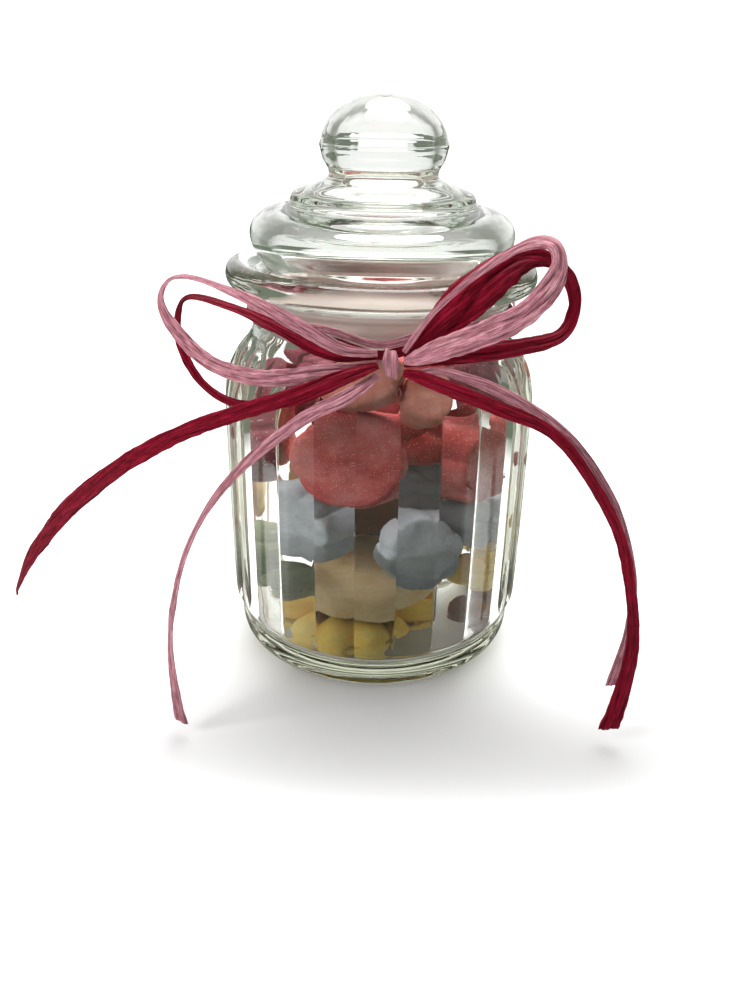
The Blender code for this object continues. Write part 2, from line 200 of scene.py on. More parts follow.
# ------------------------------------------------------------------- raffia
STRANDS = {
    "pink_left_loop": ("pink", [
        (-0.6, -34.3, 82.8, 1.4, 0), (-3.5, -35.8, 83.3, 1.8, 0),
        (-8.5, -37.4, 84.8, 2.6, 0), (-16.0, -37.8, 89.0, 2.8, 0),
        (-25.0, -36.0, 93.2, 2.4, 20), (-35.0, -31.0, 95.8, 1.8, 45),
        (-41.0, -28.3, 95.8, 1.8, 55), (-44.2, -27.0, 93.0, 2.2, 50),
        (-44.5, -27.0, 89.0, 2.6, 40), (-40.4, -30.2, 84.2, 3.0, 20),
        (-33.0, -35.6, 80.2, 3.0, 0), (-22.5, -39.4, 78.8, 3.4, 0),
        (-10.0, -39.0, 80.2, 3.2, 0), (-4.0, -36.8, 80.6, 2.0, 0),
        (-0.6, -34.2, 80.8, 1.2, 0)]),
    "crimson_left_loop": ("crimson", [
        (-0.6, -32.7, 81.7, 1.2, 0), (-3.5, -33.7, 82.0, 1.8, 0),
        (-8.5, -35.3, 82.8, 3.0, 0), (-14.0, -35.8, 84.8, 3.0, 0),
        (-22.0, -34.0, 88.4, 2.2, 10), (-30.4, -29.6, 90.5, 2.0, 30),
        (-38.8, -25.0, 91.4, 2.2, 45), (-42.2, -23.2, 88.0, 2.4, 45),
        (-42.0, -24.4, 81.0, 2.2, 30), (-37.2, -28.6, 74.2, 1.8, 10),
        (-29.0, -33.2, 71.3, 1.8, 0), (-17.0, -37.4, 73.6, 2.0, 0),
        (-6.0, -35.8, 78.0, 1.8, 0), (-0.6, -32.7, 79.7, 1.1, 0)]),
    "crimson_left_tail": ("crimson", [
        (-0.4, -35.7, 80.7, 1.4, 0), (-3.5, -38.4, 80.5, 2.4, 0),
        (-8.5, -41.4, 79.3, 3.2, 0), (-16.0, -43.2, 76.7, 3.4, 0),
        (-27.0, -42.4, 72.8, 3.2, 0), (-40.0, -38.0, 66.4, 3.6, 10),
        (-56.0, -31.0, 55.6, 4.4, 15), (-72.0, -22.6, 41.0, 4.6, 10),
        (-86.0, -15.0, 24.0, 4.0, 25), (-93.0, -10.5, 12.6, 2.8, 45),
        (-94.6, -9.0, 8.4, 2.0, 55)]),
    "pink_left_tail": ("pink", [
        (-0.4, -35.7, 78.8, 1.4, 0), (-2.6, -39.0, 77.8, 2.2, 0),
        (-7.0, -43.4, 76.2, 2.8, 0), (-15.0, -45.4, 72.4, 2.6, 0),
        (-27.3, -47.4, 62.4, 1.9, 0), (-36.0, -48.4, 50.4, 1.5, 30),
        (-41.0, -49.3, 37.0, 2.0, 45), (-43.4, -50.0, 22.5, 2.3, 45),
        (-43.0, -50.6, 8.0, 2.7, 30), (-42.4, -51.0, 3.0, 3.0, 20)]),
    "crimson_right_tail": ("crimson", [
        (4.8, -35.7, 79.4, 1.4, 0), (7.6, -38.4, 79.5, 2.4, 0),
        (12.5, -42.0, 78.7, 3.0, 0), (23.0, -44.8, 75.5, 3.0, 0),
        (33.4, -46.2, 71.2, 2.4, 0), (41.4, -47.6, 62.4, 2.2, 20),
        (48.6, -48.8, 50.6, 2.4, 40), (52.6, -49.8, 38.0, 2.6, 50),
        (54.6, -50.5, 24.5, 3.0, 40), (53.8, -51.0, 12.0, 3.6, 15),
        (52.4, -51.2, 3.6, 4.2, 5)]),
    "pink_right_tail": ("pink", [
        (4.8, -34.2, 78.9, 1.2, 0), (8.0, -36.8, 79.8, 1.4, 0),
        (13.0, -39.4, 80.8, 1.8, 0), (22.6, -41.2, 78.0, 2.4, 0),
        (32.6, -43.4, 72.8, 2.4, 0), (40.4, -44.8, 66.2, 2.0, 0),
        (48.2, -46.0, 54.6, 1.9, 20), (53.2, -46.8, 40.6, 1.8, 40),
        (54.4, -47.2, 27.0, 1.9, 45), (52.6, -47.4, 12.6, 2.2, 25)]),
    "pink_right_loop": ("pink", [
        (4.8, -35.7, 81.7, 1.4, 0), (7.4, -38.0, 83.2, 3.4, 0),
        (12.0, -40.6, 85.8, 4.6, 0), (20.0, -42.2, 89.4, 4.8, 0),
        (27.0, -41.4, 93.0, 4.6, 5), (31.6, -39.2, 97.8, 4.6, 15),
        (33.2, -37.2, 101.6, 4.2, 30), (32.0, -35.4, 104.6, 4.0, 35),
        (28.6, -34.2, 104.8, 3.2, 35), (24.0, -34.6, 102.8, 2.1, 30),
        (17.0, -37.4, 98.6, 1.3, 0), (10.2, -37.8, 92.2, 1.1, 0),
        (6.6, -36.0, 86.6, 1.3, 0), (4.8, -34.3, 83.2, 1.2, 0)]),
    "crimson_right_loop": ("crimson", [
        (4.8, -32.8, 82.0, 1.2, 0), (7.2, -34.2, 84.6, 2.4, 0),
        (12.2, -35.5, 90.0, 6.4, 0), (18.0, -34.6, 95.2, 8.2, 0),
        (24.0, -32.6, 99.6, 6.6, 0), (29.4, -29.8, 101.2, 3.8, 10),
        (34.2, -27.8, 100.0, 2.8, 20), (38.0, -26.6, 96.0, 2.8, 30),
        (39.2, -27.0, 91.0, 2.8, 30), (36.4, -30.0, 86.2, 3.0, 15),
        (28.0, -34.2, 84.8, 3.6, 0), (17.0, -36.6, 83.7, 3.8, 0),
        (9.6, -35.8, 82.2, 2.6, 0), (4.8, -34.2, 80.7, 1.3, 0)]),
}
# slope of the cut across the free end of each tail, in widths
CUTS = {"crimson_left_tail": 1.4, "pink_left_tail": -0.5,
        "crimson_right_tail": 0.45, "pink_right_tail": 0.6}
FRONT = Vector((0.0, -0.9, 0.43)).normalized()
KNOT = Vector((2.2, -34.1, 80.7))
PAPER = 0.26                 # folded thickness, mm


def raffia_material(name, light, dark, pale, glow):
    """Paper raffia: long fibres, cross crinkles, and painted shade that darkens the valleys between the folds."""
    mat, tree, bsdf = new_material(name)
    uv = put(tree, "ShaderNodeUVMap", uv_map="lay")

    def stretched(across, along, scale, detail, rough):
        node = put(tree, "ShaderNodeMapping")
        node.inputs["Scale"].default_value = (across, along, 1.0)
        tree.links.new(uv.outputs[0], node.inputs["Vector"])
        return noise_node(tree, scale, detail, rough, node.outputs[0]).outputs["Fac"]

    fibre = stretched(10.0, 0.45, 3.0, 6.0, 0.70)      # long fibres
    thread = stretched(26.0, 1.6, 3.0, 2.0, 0.5)      # fine bright threads
    patch = stretched(1.3, 1.1, 2.4, 2.0, 0.5)        # broad lights and darks
    crinkle = stretched(5.0, 26.0, 3.0, 2.0, 0.5)     # crepe across the fibres
    tone = ramp_node(tree, fibre, [(0.36, dark), (0.48, light), (0.62, pale)])
    lines = ramp_node(tree, thread, [(0.50, (0.0,) * 3), (0.60, (1.0,) * 3)])
    colour = mix_colour(tree, math_node(tree, "MULTIPLY", lines.outputs[0], 0.50),
                        tone.outputs[0], pale)
    deep = ramp_node(tree, stretched(34.0, 1.1, 3.0, 2.0, 0.5), [(0.38, (0.34,) * 3), (0.48, (1.0,) * 3)])
    colour = mix_colour(tree, 1.0, colour, deep.outputs[0], "MULTIPLY")
    shade = ramp_node(tree, patch, [(0.38, (0.70, 0.63, 0.65)), (0.58, (1.0, 1.0, 1.0))])
    colour = mix_colour(tree, 1.0, colour, shade.outputs[0], "MULTIPLY")
    # painted shade: the crease ramp darkens the raffia where the fold UV layer marks a pleat valley
    folds = put(tree, "ShaderNodeUVMap", uv_map="fold")
    split = put(tree, "ShaderNodeSeparateXYZ")
    tree.links.new(folds.outputs[0], split.inputs[0])
    painted_crease_shade = ramp_node(tree, split.outputs["X"], [(0.05, (0.16, 0.10, 0.12)), (0.42, (0.84, 0.80, 0.82)),
                                                  (0.90, (1.0, 1.0, 1.0))])
    colour = mix_colour(tree, 1.0, colour, painted_crease_shade.outputs[0], "MULTIPLY")
    tree.links.new(colour, bsdf.inputs["Base Color"])
    rough = ramp_node(tree, fibre, [(0.3, (0.50,) * 3), (0.7, (0.34,) * 3)])
    tree.links.new(rough.outputs[0], bsdf.inputs["Roughness"])
    height = math_node(tree, "ADD", fibre, math_node(tree, "MULTIPLY", crinkle, 0.22))
    height = math_node(tree, "ADD", height, math_node(tree, "MULTIPLY", thread, 0.3))
    bump = put(tree, "ShaderNodeBump")
    bump.inputs["Strength"].default_value = 0.8
    bump.inputs["Distance"].default_value = 0.00022
    tree.links.new(height, bump.inputs["Height"])
    tree.links.new(bump.outputs[0], bsdf.inputs["Normal"])
    bsdf.inputs["Specular IOR Level"].default_value = 0.12
    bsdf.inputs["Sheen Weight"].default_value = glow
    bsdf.inputs["Sheen Roughness"].default_value = 0.35
    bsdf.inputs["Sheen Tint"].default_value = (1.0, 0.86, 0.90, 1.0)
    return mat


def pleats(s, along, width, seed):
    """Height of the folds of a strand: s from -1 to 1 across it, mm."""
    def drift(k, rate):
        return noise.noise(Vector((along * rate, seed * 3.7 + k * 11.3, 0.5))) * 1.6
    a = abs(math.sin(math.pi * (0.95 * s + drift(1, 0.045))))
    b = abs(math.sin(math.pi * (2.3 * s + drift(2, 0.07))))
    c = abs(math.sin(math.pi * (5.2 * s + drift(3, 0.10))))
    deep = 0.55 + 0.45 * noise.noise(Vector((along * 0.06, seed * 1.9, 7.0)))
    return width * (0.17 * a * deep + 0.06 * b + 0.022 * c)


def ribbon(name, mat, rows, node, seed, cut=0.0, columns=22, closed=False,
           facing=None, curl=0.05):
    """A folded band along rows of (x, y, z, width, turn) in mm."""
    spots = [Vector(r[:3]) for r in rows]
    count = len(rows)
    travel = [0.0]
    for a, b in zip(spots, spots[1:]):
        travel.append(travel[-1] + (b - a).length)
    bm = bmesh.new()
    layer = bm.loops.layers.uv.new("lay")
    valley = bm.loops.layers.uv.new("fold")
    rings, fold_shade_depths = [], []
    for i in range(count):
        if closed:
            along = (spots[(i + 1) % count] - spots[i - 1]).normalized()
        else:
            along = (spots[min(i + 1, count - 1)] - spots[max(i - 1, 0)]).normalized()
        ahead = facing[i] if facing else FRONT
        across = along.cross(ahead).normalized()
        across = Matrix.Rotation(math.radians(rows[i][4]), 3, along) @ across
        up = across.cross(along).normalized()
        place = travel[i]
        width = rows[i][3]
        width *= 1.0 + 0.07 * noise.noise(Vector((place * 0.16, seed * 5.1, 0.0)))
        near_end = ease(1.0 - (travel[-1] - place) / 6.0) if cut else 0.0
        top, under, deep = [], [], []
        for j in range(columns + 1):
            s = -1.0 + 2.0 * j / columns
            fold = pleats(s, place, width, seed) - 0.13 * width + curl * width * (1 - s * s)
            # the depth of the pleat here, kept in the fold UV layer to paint shade into the valleys
            deep.append(min(1.0, pleats(s, place, width, seed) / (0.17 * width)))
            edge = 0.05 * width * noise.noise(Vector((place * 0.5, s * 40.0, seed)))
            slip = cut * s * width * 0.5 * near_end
            if cut and i >= count - 2:
                slip += 0.35 * noise.noise(Vector((s * 9.0, seed, i)))
            spot = (spots[i] + across * (s * width * 0.5 + (edge if abs(s) == 1 else 0))
                    + up * fold + along * slip)
            slim = PAPER * (0.5 if abs(s) < 0.999 else 0.22)
            top.append(bm.verts.new((spot + up * slim) * MM))
            under.append(bm.verts.new((spot - up * slim) * MM))
        rings.append(top + under[::-1])
        fold_shade_depths.append(deep)
    total = 2 * (columns + 1)

    def fold_shade_of(i, k):
        return fold_shade_depths[i % count][k if k <= columns else total - 1 - k]

    def uv_of(i, k):
        s = k / columns if k <= columns else (total - 1 - k) / columns
        return s, travel[i] * 0.1 + (travel[1] * 0.1 if i == count else 0)

    last = count if closed else count - 1
    for i in range(last):
        a, b = rings[i], rings[(i + 1) % count]
        for k in range(total):
            m = (k + 1) % total
            face = bm.faces.new((a[k], a[m], b[m], b[k]))
            far = i + 1 if (i + 1) < count else i
            for loop, (ri, ki) in zip(face.loops, ((i, k), (i, m), (far, m), (far, k))):
                loop[layer].uv = uv_of(ri, ki)
                loop[valley].uv = (fold_shade_of(ri, ki), 0.5)
    if not closed:
        for ring, flip in ((rings[0], True), (rings[-1], False)):
            for k in range(columns):
                quad = [ring[k], ring[k + 1], ring[total - 2 - k], ring[total - 1 - k]]
                face = bm.faces.new(quad[::-1] if flip else quad)
                for loop in face.loops:
                    loop[layer].uv = (k / columns, travel[0 if flip else -1] * 0.1)
                    # the cut ends get a light, even painted fold shade
                    loop[valley].uv = (0.8, 0.5)
    piece = new_piece(name, bm, mat, [node])
    return piece, spots


raffia = {
    "pink": raffia_material("raffia_pink_paper", (0.54, 0.190, 0.240), (0.32, 0.075, 0.115),
                            (0.82, 0.48, 0.52), 0.08),
    "crimson": raffia_material("raffia_crimson_paper", (0.200, 0.0010, 0.009), (0.055, 0.0002, 0.0012),
                               (0.38, 0.006, 0.045), 0.0),
}
for number, (key, (colour, points)) in enumerate(STRANDS.items()):
    steps = 15
    rows = [catmull(points, i / steps) for i in range((len(points) - 1) * steps + 1)]
    piece, spots = ribbon("ribbon_" + key, raffia[colour], rows,
                          "raffia_" + key, number + 1, CUTS.get(key, 0.0))

# the turns round the neck, pulled down where they go under the knot
for key, colour, low, high, swell in (("neck_wrap_pink", "pink", 85.7, 87.2, 0.3),
                                      ("neck_wrap_crimson", "crimson", 83.3, 85.3, 0.1)):
    rows, outs = [], []
    sides = 240
    for i in range(sides):
        a = i / sides * TAU - math.pi
        y = -31.05 * math.cos(a)
        x = 31.05 * math.sin(a)
        drop = 2.6 * math.exp(-(a / 0.24) ** 2)
        wave = noise.noise(Vector((math.cos(a) * 1.5, math.sin(a) * 1.5, swell)))
        z = (low + high) / 2 - drop + 0.25 * wave
        width = (high - low) * (1.0 + 0.15 * noise.noise(Vector((math.cos(a) * 3, math.sin(a) * 3, swell + 4))))
        rows.append((x, y, z, width, 0.0))
        outs.append(Vector((x, y, 0)).normalized())
    ribbon(key + "_band", raffia[colour], rows, key, 20 + int(swell * 10),
           closed=True, facing=outs, curl=0.02)


def knot():
    """One pinched turn of raffia over all the strands, closed at both sides."""
    bm = bmesh.new()
    layer = bm.loops.layers.uv.new("lay")
    valley = bm.loops.layers.uv.new("fold")
    turns, cross = 72, 30
    tilt = Matrix.Rotation(math.radians(14), 3, "Y")
    rows = []
    for j in range(cross + 1):
        s = -1.0 + 2.0 * j / cross
        row = []
        for i in range(turns):
            a = i / turns * TAU
            side = max(0.0, 1.0 - abs(s) ** 5) ** 0.5
            waist = 1.0 - 0.10 * math.cos(math.pi * s)
            fold = (0.06 * abs(math.sin(math.pi * (1.2 * s + 0.22 * math.sin(a + 0.6))))
                    + 0.03 * abs(math.sin(math.pi * (3.4 * s + 0.3 * math.sin(a)))))
            r = side * (waist * 0.94 + fold)
            x = 1.65 * s * (1.0 + 0.12 * math.cos(2 * a)) - 0.75 * math.sin(a) * side
            row.append(Vector((x, 2.25 * r * math.cos(a), 2.85 * r * math.sin(a))))
        rows.append(row)
    made = []
    for j, row in enumerate(rows):
        if j in (0, cross):
            made.append([bm.verts.new((tilt @ Vector((row[0].x, 0, 0)) + KNOT) * MM)])
        else:
            made.append([bm.verts.new((tilt @ p + KNOT) * MM) for p in row])
    for j in range(cross):
        a, b = made[j], made[j + 1]
        for i in range(turns):
            m = (i + 1) % turns
            if len(a) == 1:
                quad, uvs = (a[0], b[i], b[m]), ((j, i), (j + 1, i), (j + 1, i + 1))
            elif len(b) == 1:
                quad, uvs = (a[i], b[0], a[m]), ((j, i), (j + 1, i), (j, i + 1))
            else:
                quad, uvs = (a[i], b[i], b[m], a[m]), ((j, i), (j + 1, i), (j + 1, i + 1), (j, i + 1))
            face = bm.faces.new(quad)
            for loop, (jj, ii) in zip(face.loops, uvs):
                loop[layer].uv = (jj / cross, ii / turns * 1.6)
                # the knot turn gets a light, even painted fold shade all over
                loop[valley].uv = (0.8, 0.5)
    dull = raffia_material("raffia_knot_paper", (0.44, 0.175, 0.215), (0.24, 0.055, 0.085),
                           (0.66, 0.36, 0.40), 0.05)
    new_piece("raffia_knot_turn", bm, dull, ["raffia_knot"])


knot()

# -------------------------------------------------------------------- glass
FLUTES = 25
FLUTE_DEPTH = 0.56
JAR_OUTSIDE = [
    (0.0, 1.4, 0), (20.0, 1.2, 0), (28.0, 1.0, 0), (29.0, 0.1, 0), (29.8, 0.0, 0), (31.4, 0.0, 0),
    (33.2, 0.5, 0), (34.8, 1.9, 0), (35.6, 4.0, 0), (35.7, 6.6, 0), (35.2, 8.6, 0),
    (35.4, 9.4, 0.1), (36.6, 10.8, 0.7), (37.3, 12.8, 1), (37.5, 18.0, 1), (37.5, 60.0, 1),
    (37.2, 66.0, 1), (36.0, 70.8, 1), (34.0, 74.8, 1), (31.6, 78.0, 1), (30.2, 80.4, 1),
    (29.8, 82.4, 0), (29.8, 86.8, 0), (30.5, 88.6, 0), (33.0, 89.8, 0), (35.0, 91.0, 0),
    (35.6, 92.8, 0), (35.0, 94.8, 0), (33.0, 95.8, 0),
]
JAR_INSIDE = [
    (30.8, 95.2, 0), (28.8, 93.8, 0), (27.4, 92.2, 0), (26.9, 90.0, 0), (26.9, 82.0, 0),
    (27.6, 79.4, 0), (29.4, 75.8, 0), (31.6, 71.4, 0), (32.9, 66.8, 0), (33.3, 61.0, 0),
    (33.3, 15.0, 0), (33.1, 11.0, 0), (32.2, 7.8, 0), (30.6, 5.8, 0), (28.0, 4.9, 0),
    (20.0, 4.5, 0), (0.0, 4.4, 0),
]
LID_OUTSIDE = [
    (0.0, 130.3, 0), (5.4, 129.4, 0), (9.9, 126.9, 0), (12.9, 123.4, 0), (13.9, 120.6, 0),
    (14.15, 119.8, 0), (14.0, 119.1, 0), (13.4, 116.8, 0), (12.3, 114.9, 0), (12.1, 113.6, 0),
    (13.2, 112.5, 0), (16.0, 111.5, 0), (19.4, 110.3, 0), (20.4, 109.5, 0), (20.7, 108.3, 0),
    (21.6, 107.4, 0), (24.0, 106.8, 0), (26.6, 106.0, 0), (28.8, 104.3, 0), (29.8, 101.8, 0),
    (29.3, 98.8, 0), (27.9, 95.8, 0), (26.2, 93.7, 0), (24.6, 92.8, 0), (24.0, 91.6, 0),
    (23.9, 88.0, 0), (23.9, 82.4, 0), (23.3, 81.6, 0),
]
LID_INSIDE = [
    (21.4, 81.6, 0), (20.8, 82.4, 0), (20.8, 90.8, 0), (21.8, 94.0, 0), (24.2, 97.0, 0),
    (25.6, 99.6, 0), (25.6, 101.4, 0), (23.8, 102.9, 0), (20.2, 103.6, 0), (17.4, 104.4, 0),
    (16.2, 106.4, 0), (12.6, 108.9, 0), (9.9, 110.4, 0), (9.2, 113.2, 0), (10.6, 116.6, 0),
    (11.2, 119.8, 0), (10.4, 122.8, 0), (7.4, 125.6, 0), (3.8, 127.1, 0), (0.0, 127.6, 0),
]


def glass_material(name, tint, colour, density, shade):
    """Clear pressed glass: grey-green in the mass, lets the lamps light what
    is inside it."""
    mat, tree, bsdf = new_material(name)
    bsdf.inputs["Base Color"].default_value = (*tint, 1.0)
    bsdf.inputs["Roughness"].default_value = 0.0
    bsdf.inputs["IOR"].default_value = 1.5
    bsdf.inputs["Transmission Weight"].default_value = 1.0
    out = tree.nodes["Material Output"]
    path = put(tree, "ShaderNodeLightPath")
    clear = put(tree, "ShaderNodeBsdfTransparent")
    clear.inputs["Color"].default_value = (*shade, 1.0)
    mix = put(tree, "ShaderNodeMixShader")
    tree.links.new(path.outputs["Is Shadow Ray"], mix.inputs[0])
    tree.links.new(bsdf.outputs[0], mix.inputs[1])
    tree.links.new(clear.outputs[0], mix.inputs[2])
    tree.links.new(mix.outputs[0], out.inputs["Surface"])
    soak = put(tree, "ShaderNodeVolumeAbsorption")
    soak.inputs["Color"].default_value = (*colour, 1.0)
    soak.inputs["Density"].default_value = density
    tree.links.new(soak.outputs[0], out.inputs["Volume"])
    return mat


def uneven(row, a, z, around):
    """Pressed glass isn't true: mould rings along it, waves round it, mm."""
    rings = 0.034 * noise.noise(Vector((row * 0.83, 3.1, z * 0.21)))
    waves = noise.noise(Vector((math.cos(a) * 8.0, math.sin(a) * 8.0, z * 0.022 + row * 0.002)))
    return rings + around * waves


def lathe(name, profile, angles, shape, mat, node, around=0.0):
    bm = bmesh.new()
    rows = []
    for number, point in enumerate(profile):
        if point[0] < 1e-6:
            rows.append([bm.verts.new((0, 0, point[1] * MM))])
            continue
        row = []
        for a, u in angles:
            r = shape(point, u) if shape else point[0]
            if point[0] > 6.0 and point[1] > 2.5:
                r += uneven(number, a, point[1], around)
            row.append(bm.verts.new((r * math.sin(a) * MM, -r * math.cos(a) * MM, point[1] * MM)))
        rows.append(row)
    count = len(angles)
    for a, b in zip(rows, rows[1:]):
        for i in range(count):
            j = (i + 1) % count
            if len(a) == 1:
                bm.faces.new((a[0], b[i], b[j]))
            elif len(b) == 1:
                bm.faces.new((a[i], b[0], a[j]))
            else:
                bm.faces.new((a[i], b[i], b[j], a[j]))
    return new_piece(name, bm, mat, [node] if node else [])


def flute(point, u):
    """Radius of the jar's outside: convex lobes with rounded arches on top."""
    r, z, show = point
    if show <= 0.001:
        return r
    a = abs(u)
    dip = a * a + 0.10 * math.exp(-((1.0 - a) / 0.055) ** 2)
    keep = show
    if z > 66:
        top = 78.6 - 4.2 * u * u           # each lobe ends in a rounded arch
        raised = ease((top - z) / 1.6)
        fade = 1.0 - ease((z - 77.0) / 5.0)
        bold = 1.0 + 0.9 * ease((z - 66.0) / 5.0)
        return r - FLUTE_DEPTH * bold * dip * raised - 0.35 * (1.0 - raised) * fade
    return r - FLUTE_DEPTH * dip * keep


lobe = [-1.0, -0.98, -0.955, -0.92, -0.86, -0.74, -0.55, -0.3, 0.0, 0.3, 0.55, 0.74, 0.86, 0.92, 0.955, 0.98]
jar_angles = [((k + 0.5 * u) / FLUTES * TAU, u) for k in range(FLUTES) for u in lobe]
round_angles = [(k / 200 * TAU, 0.0) for k in range(200)]

outside = [p for p in smooth_profile(JAR_OUTSIDE)]
for row in outside:
    row[2] = min(1.0, max(0.0, row[2]))
inside = smooth_profile(JAR_INSIDE, 1.0)
for row in inside:
    row[2] = 0.0
jar_glass = glass_material("pressed_glass", (0.99, 0.995, 0.985), (0.645, 0.665, 0.580), 37.0,
                           (1.0, 1.0, 1.0))
lid_glass = glass_material("pressed_glass_lid", (0.99, 0.995, 0.99), (0.60, 0.655, 0.565), 46.0,
                           (1.0, 1.0, 1.0))
lathe("jar_glass", outside + inside, jar_angles, flute, jar_glass, "jar", 0.05)
lathe("lid_glass", smooth_profile(LID_OUTSIDE, 0.6) + smooth_profile(LID_INSIDE, 0.8),
      round_angles, None, lid_glass, "lid", 0.02)

# the soft ribbed ring that the lid's plug is pushed into
SEAL = [(26.4, 91.0), (26.75, 90.4), (26.4, 89.8), (26.4, 88.4), (26.75, 87.8), (26.4, 87.2),
        (26.4, 85.6), (26.75, 85.0), (26.4, 84.4), (26.4, 82.8), (26.75, 82.2), (26.4, 81.6),
        (26.2, 80.7), (24.9, 80.6), (24.4, 81.2), (24.4, 90.6), (24.8, 91.1), (26.0, 91.2)]


def seal_material():
    mat, tree, bsdf = new_material("seal_soft_plastic")
    bsdf.inputs["Base Color"].default_value = (0.80, 0.66, 0.63, 1.0)
    bsdf.inputs["Roughness"].default_value = 0.32
    bsdf.inputs["IOR"].default_value = 1.46
    bsdf.inputs["Transmission Weight"].default_value = 0.55
    bsdf.inputs["Subsurface Weight"].default_value = 0.0
    return mat


def seal():
    bm = bmesh.new()
    rows = []
    for r, z in SEAL:
        rows.append([bm.verts.new((r * math.sin(a) * MM, -r * math.cos(a) * MM, z * MM))
                     for a, _ in round_angles])
    for a, b in zip(rows, rows[1:] + rows[:1]):
        for i in range(len(a)):
            j = (i + 1) % len(a)
            bm.faces.new((a[i], a[j], b[j], b[i]))
    new_piece("seal_ring", bm, seal_material(), ["seal"])


seal()

# ------------------------------------------------------------------- sweets
BORE_R = 33.3
FLOOR_Z = 4.4
BORE_LINE = [
    (30.6, 95.0, 0), (27.6, 92.4, 0), (26.9, 89.6, 0),
    (26.9, 82.0, 0), (28.6, 77.4, 0), (31.6, 71.4, 0),
    (BORE_R, 62.0, 0), (BORE_R, 14.0, 0),
    (32.2, 8.0, 0), (28.6, 5.0, 0), (0.0, FLOOR_Z, 0),
]
WALL_SWEETS = {
    # front
    "sweet_blue_front": (19.5, 35.4, 9.5, 1.0, 8, 8.5, 8, 10, 0.0, "blue"),
    "sweet_blue_left": (-38.5, 38.2, 10.9, 1.0, 8, 8.0, -8, 12, 3.0, "blue"),
    "sweet_pink_big": (-12, 57.2, 13.0, 0.84, 6, 9.0, 17, 0, 0.0, "rose"),
    "sweet_peach_left": (-7, 73.9, 8.8, 0.74, 5, 7.0, 30, 20, 0.0, "peach"),
    "sweet_peach_right": (21.5, 70.0, 6.2, 0.9, 4, 6.2, 34, 40, 0.0, "peach"),
    "sweet_rose_right": (46, 54.2, 8.8, 1.05, 6, 8.0, 4, 8, 0.0, "rose"),
    "sweet_mauve_right": (61, 70.8, 7.8, 1.0, 5, 7.5, 26, 12, 0.0, "mauve"),
    "sweet_blue_right": (53.5, 38.6, 7.4, 0.92, 6, 7.5, 0, 0, 0.0, "blue"),
    "sweet_yellow_right": (53, 25.4, 5.7, 0.9, 6, 6.5, 6, 18, 0.0, "yellow"),
    "sweet_green_left": (-73.5, 23.0, 8.7, 1.0, 6, 8.0, 0, 20, 0.0, "green"),
    "sweet_mauve_left": (-66, 54.4, 9.6, 0.94, 5, 7.5, 4, 12, 0.0, "mauve"),
    "sweet_green_low": (-45, 22.2, 4.7, 1.0, 5, 6.5, 0, 30, 0.0, "green"),
    "sweet_amber_side": (60, 12.6, 6.5, 1.0, 5, 7.0, 0, 10, 0.0, "amber"),
    # sides and back
    "sweet_rose_side": (92, 49.6, 9.8, 1.0, 5, 7.0, 0, 26, 0.0, "rose"),
    "sweet_cream_side": (97, 27.2, 10.6, 1.0, 5, 7.5, 4, 0, 0.0, "cream"),
    "sweet_blue_back": (132, 42.0, 10.0, 1.0, 5, 7.0, -4, 14, 0.0, "blue"),
    "sweet_peach_back": (134, 63.6, 9.4, 1.0, 5, 7.0, 8, 0, 0.0, "peach"),
    "sweet_yellow_back": (140, 20.0, 10.4, 1.0, 6, 7.0, 6, 22, 0.0, "yellow"),
    "sweet_rose_back": (176, 32.4, 10.4, 1.0, 5, 7.5, 2, 6, 0.0, "rose"),
    "sweet_mauve_rear": (174, 56.0, 10.4, 1.0, 5, 7.5, 4, 10, 0.0, "mauve"),
    "sweet_rose_high": (177, 72.8, 9.8, 0.62, 5, 6.0, 24, 0, 0.0, "rose"),
    "sweet_rose_rear": (-143, 44.6, 10.2, 1.0, 5, 7.0, 0, 30, 0.0, "rose"),
    "sweet_mauve_back": (-140, 66.0, 8.6, 1.0, 5, 7.0, 12, 14, 0.0, "mauve"),
    "sweet_peach_side": (-144, 20.6, 10.6, 1.0, 5, 7.5, 8, 12, 0.0, "peach"),
    "sweet_mauve_side": (-107.5, 58.0, 9.2, 1.0, 5, 7.0, 6, 0, 0.0, "mauve"),
    "sweet_cream_left": (-106, 35.0, 9.0, 1.0, 6, 7.0, -2, 20, 0.0, "cream"),
}
CORE_SWEETS = {
    "sweet_yellow_daisy": ((-5.0, -11.2, 11.4), 18.6, 1.0, 12, 9.6, 0, 86, 15, "yellow"),
    "sweet_cream_front": ((-2.0, -15.6, 21.4), 14.0, 1.0, 7, 7.4, 6, 80, 20, "cream"),
    "sweet_rose_inner": ((11.2, -14.2, 60.4), 9.2, 0.96, 6, 8.6, 22, 20, 0, "rose"),
    "sweet_blue_inner": ((10.4, -12.4, 44.8), 8.8, 0.86, 6, 8.0, 20, 24, 12, "blue"),
    "sweet_amber_inner": ((-4.6, -6.6, 37.6), 9.0, 1.0, 5, 9.0, -8, 12, 0, "amber"),
    "sweet_green_inner": ((4.0, 17.4, 12.0), 11.6, 1.0, 5, 9.0, 150, 80, 0, "green"),
    "sweet_cream_inner": ((-7.0, 9.0, 45.0), 11.4, 1.0, 5, 9.0, 200, 62, 0, "cream"),
    "sweet_peach_inner": ((1.0, 9.8, 26.6), 12.4, 1.0, 5, 10.0, 190, 66, 0, "peach"),
    "sweet_mauve_top": ((-11.4, -12.6, 71.0), 7.6, 1.0, 5, 7.0, -30, 50, 0, "mauve"),
    "sweet_rose_top": ((9.0, 7.0, 69.6), 11.0, 1.0, 5, 8.5, 60, 74, 0, "rose"),
    "sweet_rose_core": ((-5.0, -7.6, 62.4), 9.6, 1.0, 5, 8.5, -6, 20, 0, "rose"),
    "sweet_mauve_core": ((14.0, 6.0, 55.0), 11.0, 1.0, 5, 9.0, 40, 56, 0, "mauve"),
    "sweet_amber_core": ((12.8, -4.4, 30.2), 8.0, 1.0, 5, 8.0, 24, 16, 0, "amber"),
}
